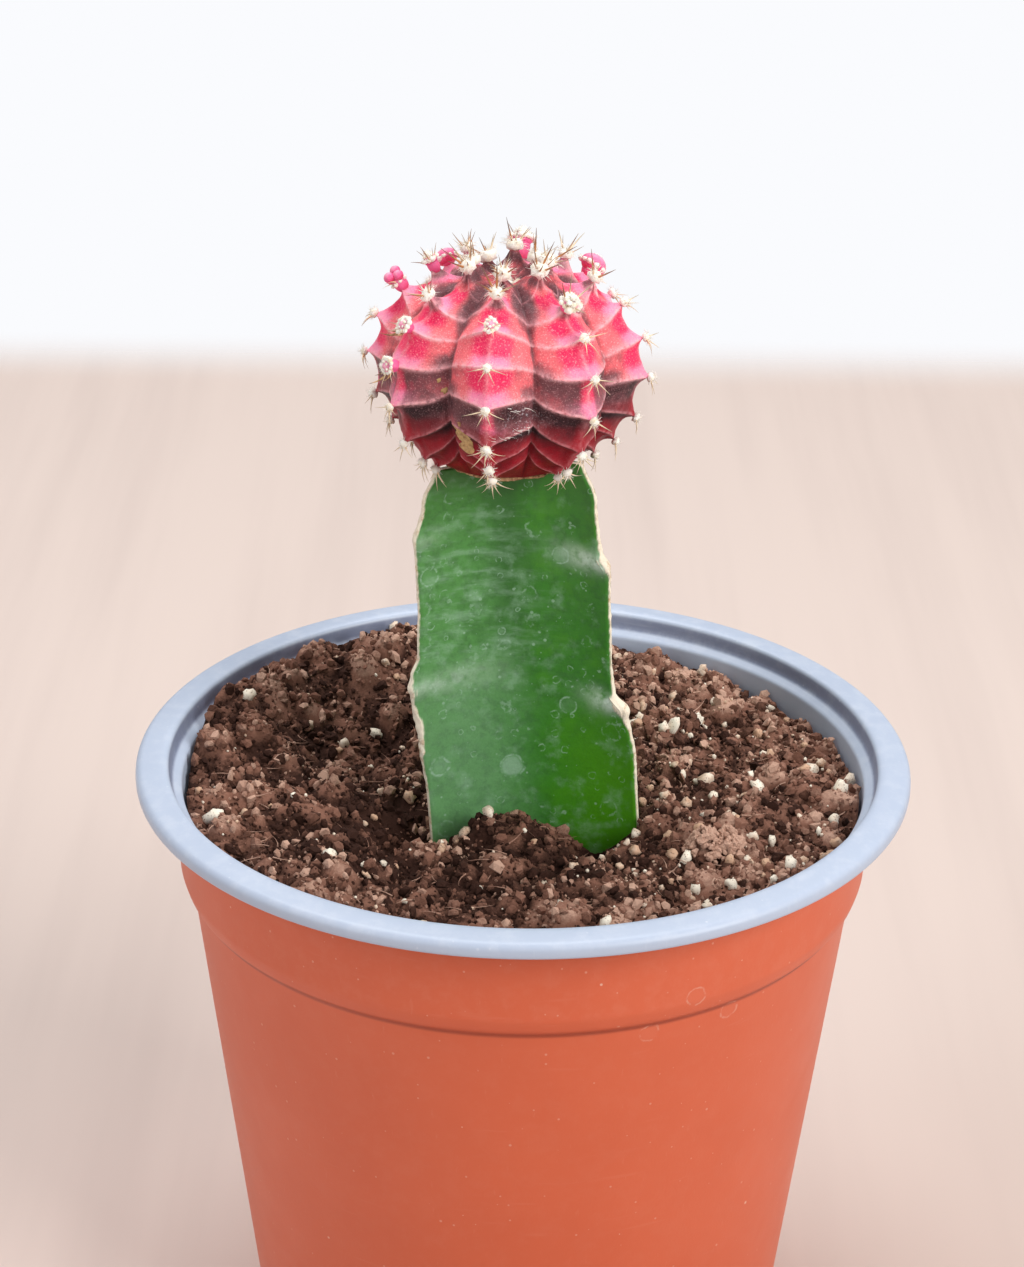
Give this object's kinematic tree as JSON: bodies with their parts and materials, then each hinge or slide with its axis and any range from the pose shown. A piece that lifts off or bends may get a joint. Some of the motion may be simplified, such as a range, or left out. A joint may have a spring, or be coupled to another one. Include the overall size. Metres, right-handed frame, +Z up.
{
  "type": "potted moon cactus",
  "caption": "Small grafted cactus, a red ribbed head on a green winged stem, standing in potting mix in a round tapered plastic nursery pot.",
  "frame": {"origin": "middle of the pot's foot, on the surface that it stands on", "axes": "+Z up along the pot's axis; -Y towards the front of the plant, the side that the picture shows; +X to the right seen from there"},
  "size_m": [0.12, 0.12, 0.1865],
  "materials": {
    "pot_plastic": "terracotta-coloured outside and grey-blue rim and inside, smooth thermoformed sheet with a soft satin sheen",
    "potting_mix": "loose dark brown peat crumbs with cream perlite grains, dry and fully matte",
    "stem_skin": "waxy green skin, darker down the middle of each face, with faint water marks and tan corky edges",
    "head_skin": "soft waxy skin, coral pink near the crown, dark purple-brown in the furrows and crimson below, with cream wool and straw-coloured spines"
  },
  "bodies": {
    "root": {"pot": "pot_plastic", "soil": "potting_mix", "rootstock": "stem_skin", "scion": "head_skin"}
  },
  "joints": []
}
